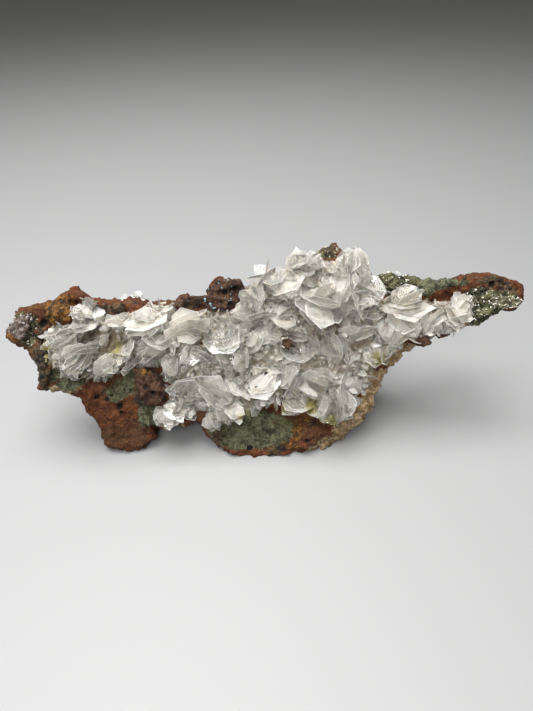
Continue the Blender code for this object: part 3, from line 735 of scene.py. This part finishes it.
def fan(crystals, chance, centre, radius, turn, count, opening):
    """Blades that open like a book from a hinge in the disc's plane."""
    spin = max((chance.uniform(0.0, math.tau) for _ in range(4)),
               key=lambda angle: (turn @ Vector((math.cos(angle), math.sin(angle), 0.0)))
               .dot(PLATE_AXES.col[2]))
    hinge = turn @ Matrix.Rotation(spin, 3, "Z")
    for _ in range(count):
        swing = Matrix.Rotation(math.radians(chance.gauss(0.0, opening)), 3, "Y")
        yaw = Matrix.Rotation(math.radians(chance.gauss(0.0, 35.0)), 3, "Z")
        ear_turn = hinge @ yaw @ swing
        size = radius * chance.uniform(0.4, 0.85)
        offset = ear_turn @ Vector((radius * chance.uniform(0.0, 0.5), 0.0,
                                    radius * chance.uniform(-0.12, 0.12)))
        crystals.add(EARS, centre + offset * MM, size, radius * chance.uniform(0.09, 0.17), ear_turn, 0.3)


def large_crystals(zones):
    """The crystals that read from a step away, each with a fan of thinner blades."""
    chance = random.Random(SEED + 2)
    for blanks, thickness, (x, v, radius, tilt, lean) in (
            [(DISCS, 0.26, row) for row in CRYSTALS] + [(POINTED, 0.5, PEAK)]):
        crystals = zone_at(zones, x)
        if blanks is POINTED:
            turn = disc_turn(tilt, lean, 78.0)
        else:
            turn = disc_turn(tilt, lean + chance.choice((0.0, 0.0, 180.0)), chance.uniform(0.0, 120.0))
        centre = plate(x, v, CRYSTAL_HEIGHT)
        crystals.add(blanks, centre, radius, radius * thickness, turn)
        fan(crystals, chance, centre, radius, turn, 2 if blanks is POINTED else chance.randint(5, 8), 42.0)
        for _ in range(chance.randint(0, 2)):
            offset = turn @ Vector((0.0, 0.0, radius * chance.uniform(-0.4, 0.35)))
            tip = Matrix.Rotation(math.radians(chance.gauss(0.0, 7.0)), 3, "X")
            size = radius * chance.uniform(0.6, 0.9)
            crystals.add(EARS, centre + offset * MM, size, radius * 0.12, turn @ tip)


def rear_crystals(crystals):
    """The two clear crystals behind the rim."""
    chance = random.Random(SEED + 3)
    for x, v, radius, tilt, lean in REAR_CRYSTALS:
        turn = disc_turn(tilt, lean, chance.uniform(0.0, 120.0))
        centre = plate(x, v, REAR_HEIGHT)
        crystals.add(DISCS[:1], centre, radius, radius * 0.45, turn)
        for _ in range(3):
            swing = Matrix.Rotation(math.radians(chance.uniform(-60.0, 60.0)), 3, "Y")
            offset = Vector([chance.uniform(-0.4, 0.4) * radius * MM for _ in range(3)])
            crystals.add(EARS[:1], centre + offset, radius * 0.6, radius * 0.25, turn @ swing)


def small_crystals(zones, count, sizes, seed, heights):
    """Small discs at all angles among the large ones."""
    chance = random.Random(seed)
    made = 0
    while made < count:
        x = chance.uniform(-88.0, 84.0)
        v = chance.uniform(12.0, 84.0)
        depth = depth_inside(x, v, FIELD)
        if depth < 0.3 or (depth > 4.0 and chance.random() < 0.4):
            continue
        radius = chance.uniform(*sizes)
        turn = disc_turn(chance.uniform(40.0, 90.0), chance.uniform(0.0, 360.0),
                         chance.uniform(0.0, 60.0))
        centre = plate(x, v, chance.uniform(*heights))
        zone_at(zones, x).add(CHIPS, centre, radius, radius * 0.26, turn, 0.3)
        made += 1


def speck_finish():
    finish = Finish("dark_specks")
    fine = finish.step(finish.noise(0.6, 3.0, 0.7), 0.35, 0.65)
    base = finish.mix(finish.attribute("brown"), colour(22, 18, 15), colour(60, 34, 19))
    finish.surface(Base_Color=finish.shaded(base, fine * 0.8 + 0.6), Roughness=0.7,
                   Normal=finish.bump(fine, 0.3, 0.8))
    return finish


def specks():
    """Chips and dark grains caught in the calcite, each seated on the crystal under it."""
    chance = random.Random(SEED + 30)
    wanted = [(x, v, size, 1.0) for x, v, size in CHIP_SPOTS] + [(x, v, size, 0.0) for x, v, size in DOTS]
    for x, v, half_x, half_v, count in DOTTED:
        for _ in range(count):
            wanted.append((x + chance.uniform(-half_x, half_x), v + chance.uniform(-half_v, half_v),
                           chance.uniform(0.2, 0.45), 0.0))
    bm = bmesh.new()
    brown = bm.verts.layers.float.new("brown")
    inward = -PLATE_AXES.col[2]
    for x, v, size, brownness in wanted:
        start = plate(x, v, 30.0)
        hits = [tree.ray_cast(start, inward)[0] for tree in CRYSTAL_TREES]
        hits = [hit for hit in hits if hit]
        if not hits:
            continue
        seat = min(hits, key=lambda hit: (hit - start).length)
        made = bmesh.ops.create_icosphere(bm, subdivisions=3 if size > 1.0 else 1, radius=1.0)
        for vert in made["verts"]:
            lump = vert.co.copy()
            vert[brown] = brownness
            swell = 1.0 + 0.35 * noise.noise(lump * 1.3 + seat / MM)
            swell += 0.2 * broken(lump * 3.0 + seat / MM, 1.5)
            vert.co = seat + lump * size * swell * MM
    return piece("dark_specks", bm, speck_finish())


def splinters(zones, count, seed):
    """Thin bright blades that stand up between the crystals, at all angles."""
    chance = random.Random(seed)
    made = 0
    while made < count:
        x = chance.uniform(-88.0, 84.0)
        v = chance.uniform(12.0, 84.0)
        if depth_inside(x, v, FIELD) < 0.8:
            continue
        radius = chance.uniform(2.0, 5.0)
        turn = disc_turn(chance.uniform(55.0, 90.0), chance.uniform(0.0, 360.0),
                         chance.uniform(-20.0, 20.0))
        centre = plate(x, v, chance.uniform(2.0, 5.0))
        zone_at(zones, x).add(BLADES, centre, radius, radius * 0.16, turn)
        made += 1


def crust_finish():
    finish = Finish("calcite_crust")
    fine = finish.noise(0.6, 3.0, 0.6)
    mottle = finish.noise(3.0, 4.0, 0.6)
    # Painted shade: the crust is painted grey-brown where it lies low, in the hollows between the
    # crystals, and pale where it rises.
    low = finish.step(finish.attribute("rise") + (mottle - 0.5) * 0.8, 0.2, 0.75)
    base = finish.mix(low, colour(128, 120, 104), colour(238, 234, 226))
    base = finish.mix(finish.step(fine, 0.6, 0.7) * 0.6, base, colour(252, 250, 245))
    # Brown on the crust in the hollows: part stain, part painted shade.
    base = finish.mix(finish.step(finish.attribute("brown") + (mottle - 0.5) * 1.2, 0.3, 0.9) * 0.85,
                      base, colour(104, 90, 68))
    base = finish.mix(finish.step(finish.attribute("olive") + (mottle - 0.5) * 0.8, 0.3, 0.8) * 0.85,
                      base, colour(128, 124, 66))
    finish.surface(
        Base_Color=base,
        Roughness=0.3 + fine * 0.3,
        Normal=finish.bump(fine + finish.cells(0.5) * 0.4, 0.4, 0.9),
        Transmission_Weight=0.1,
        IOR=1.49,
    )
    return finish


def crust(rock_tree):
    """The low crystalline crust that the crystals grow from."""
    columns = 224
    rows = 94
    bm = bmesh.new()
    layers = {key: bm.verts.layers.float.new(key) for key in CALCITE_PATCHES}
    rise = bm.verts.layers.float.new("rise")
    made = bmesh.ops.create_grid(bm, x_segments=columns, y_segments=rows, size=0.5)
    bmesh.ops.scale(bm, vec=(columns * CRUST_STEP, rows * CRUST_STEP, 1.0), verts=made["verts"])
    bmesh.ops.translate(bm, vec=(-2.0, 47.0, 0.0), verts=made["verts"])
    bare = []
    for vert in bm.verts:
        wander = noise.noise(vert.co / 3.0)
        vert[rise] = depth_inside(vert.co.x + 1.2 * wander, vert.co.y + 0.6 * wander, FIELD)
        if vert[rise] < -CRUST_STEP:
            bare.append(vert)
    bmesh.ops.delete(bm, geom=bare, context="VERTS")
    lifted = bmesh.ops.extrude_face_region(bm, geom=list(bm.faces))
    tops = {part for part in lifted["geom"] if isinstance(part, bmesh.types.BMVert)}
    inward = -PLATE_AXES.col[2]
    for vert in bm.verts:
        place = vert.co.copy()
        hit = rock_tree.ray_cast(plate(place.x, place.y, 20.0), inward)[0]
        ground = max(-2.0, min(on_plate(hit).z, 6.0)) if hit else 0.0
        place.z = ground - 1.6
        if vert in tops:
            cell = noise.voronoi(place / 3.0)[0]
            bulge = 1.8 + 1.4 * (cell[1] - cell[0]) - 1.2 * cell[0]
            bulge += 0.8 * noise.noise(place / 1.2)
            place.z = ground - 0.6 + bulge * max(0.0, min(1.0, (vert[rise] + 0.3) / 2.4))
            # The rise kept here paints the crust's low parts darker, as painted shade.
            vert[rise] = (place.z - ground) / 3.0
        for key, layer in layers.items():
            vert[layer] = cover(CALCITE_PATCHES[key], place)
        vert.co = plate(*place)
    bmesh.ops.recalc_face_normals(bm, faces=bm.faces)
    return piece("calcite_crust", bm, crust_finish())


def floor():
    """The plain pale surface that the specimen rests on."""
    finish = Finish("pale_floor")
    finish.surface(Base_Color=colour(121, 121, 121), Roughness=0.6)
    bm = bmesh.new()
    bmesh.ops.create_grid(bm, x_segments=1, y_segments=1, size=4.0)
    mesh = bpy.data.meshes.new("floor")
    bm.to_mesh(mesh)
    bm.free()
    mesh.materials.append(finish.material)
    item = bpy.data.objects.new("floor", mesh)
    bpy.context.scene.collection.objects.link(item)


def area_light(name, place, size, power, aim):
    light = bpy.data.lights.new(name, "AREA")
    light.shape = "SQUARE"
    light.size = size
    light.energy = power
    item = bpy.data.objects.new(name, light)
    item.location = place
    item.rotation_euler = (Vector(aim) - Vector(place)).to_track_quat("-Z", "Y").to_euler()
    bpy.context.scene.collection.objects.link(item)


def studio():
    """A soft light overhead, a weak fill from the front, and pale surroundings."""
    area_light("overhead", (-0.13, 0.0, 0.75), 0.6, 18.5, (0.0, 0.0, 0.0))
    area_light("front_fill", (-0.1, -0.6, 0.6), 0.4, 6.0, (0.0, 0.0, 0.03))
    world = bpy.data.worlds.new("studio")
    world.use_nodes = True
    world.node_tree.nodes["Background"].inputs["Color"].default_value = colour(230, 229, 226)
    world.node_tree.nodes["Background"].inputs["Strength"].default_value = 0.28
    scene = bpy.context.scene
    scene.world = world
    scene.view_settings.view_transform = "Standard"
    scene.cycles.max_bounces = 32
    scene.cycles.transmission_bounces = 32
    scene.cycles.glossy_bounces = 32
    scene.cycles.diffuse_bounces = 8


def camera():
    data = bpy.data.cameras.new("photo_camera")
    data.sensor_width = SENSOR
    data.lens = SENSOR * FOCAL_PIXELS / PHOTO_HEIGHT
    data.clip_start = 0.01
    data.clip_end = 20.0
    item = bpy.data.objects.new("photo_camera", data)
    tilt = Matrix.Rotation(math.pi / 2.0 - CAMERA_TILT, 4, "X")
    roll = Matrix.Rotation(-CAMERA_ROLL, 4, "Z")
    item.matrix_world = Matrix.Translation(CAMERA_PLACE * MM) @ tilt @ roll
    bpy.context.scene.collection.objects.link(item)
    bpy.context.scene.camera = item


noise.seed_set(SEED)
camera()
studio()
floor()
SEATS, ROCK_TREE = rock()
crust(ROCK_TREE)
CALCITE = calcite_finish()
DISCS = [rhomb_blank(24, (0.5, 0.965, 1.0), 0.15, trim, kind)
         for trim, kind in ((0.94, CLEAR), (1.12, CLEAR), (1.02, MILKY))]
EARS = [rhomb_blank(12, (0.94, 1.0), 0.0, trim, kind)
        for trim, kind in ((0.94, CLEAR), (1.2, CLEAR), (1.2, MILKY))]
CHIPS = [rhomb_blank(6, (0.9, 1.0), 0.0, 1.1, kind) for kind in (CLEAR, MILKY)]
BLADES = [rhomb_blank(6, (0.88, 1.0), 0.0, 1.1, kind, 0.42) for kind in (CLEAR, MILKY)]
POINTED = [rhomb_blank(24, (0.5, 0.965, 1.0), 0.0, 1.2)]
ZONES = [Crystals(SEED + part) for part in range(3)]
large_crystals(ZONES)
small_crystals(ZONES, 520, (1.8, 4.6), SEED + 5, (0.6, 3.6))
splinters(ZONES, 560, SEED + 6)
CRYSTAL_TREES = []
for zone, side in zip(ZONES, ("left", "middle", "right")):
    item = zone.finish("calcite_" + side, CALCITE)
    CRYSTAL_TREES.append(BVHTree.FromObject(item, bpy.context.evaluated_depsgraph_get()))
    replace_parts(item, "calcite_field")
specks()
REAR = Crystals(SEED + 4)
rear_crystals(REAR)
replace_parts(REAR.finish("calcite_behind_rim", CALCITE), "calcite_rear")
GREY = grain_finish("grey_grains", colour(66, 54, 46), colour(118, 108, 106), 0.2)
CREAM = grain_finish("cream_grains", colour(176, 168, 146), colour(236, 232, 220), 0.4)
grains("druse_left_grains", druse("druse_left", left_druse_finish(), 0.9), 300, (0.3, 0.8), GREY,
       SEED + 20)
grains("druse_right_grains", druse("druse_right", right_druse_finish(), 0.8), 80, (0.3, 0.7), CREAM,
       SEED + 21)
grains("sparkles", SEATS["rough"], 400, (0.25, 0.65), CREAM, SEED + 22)
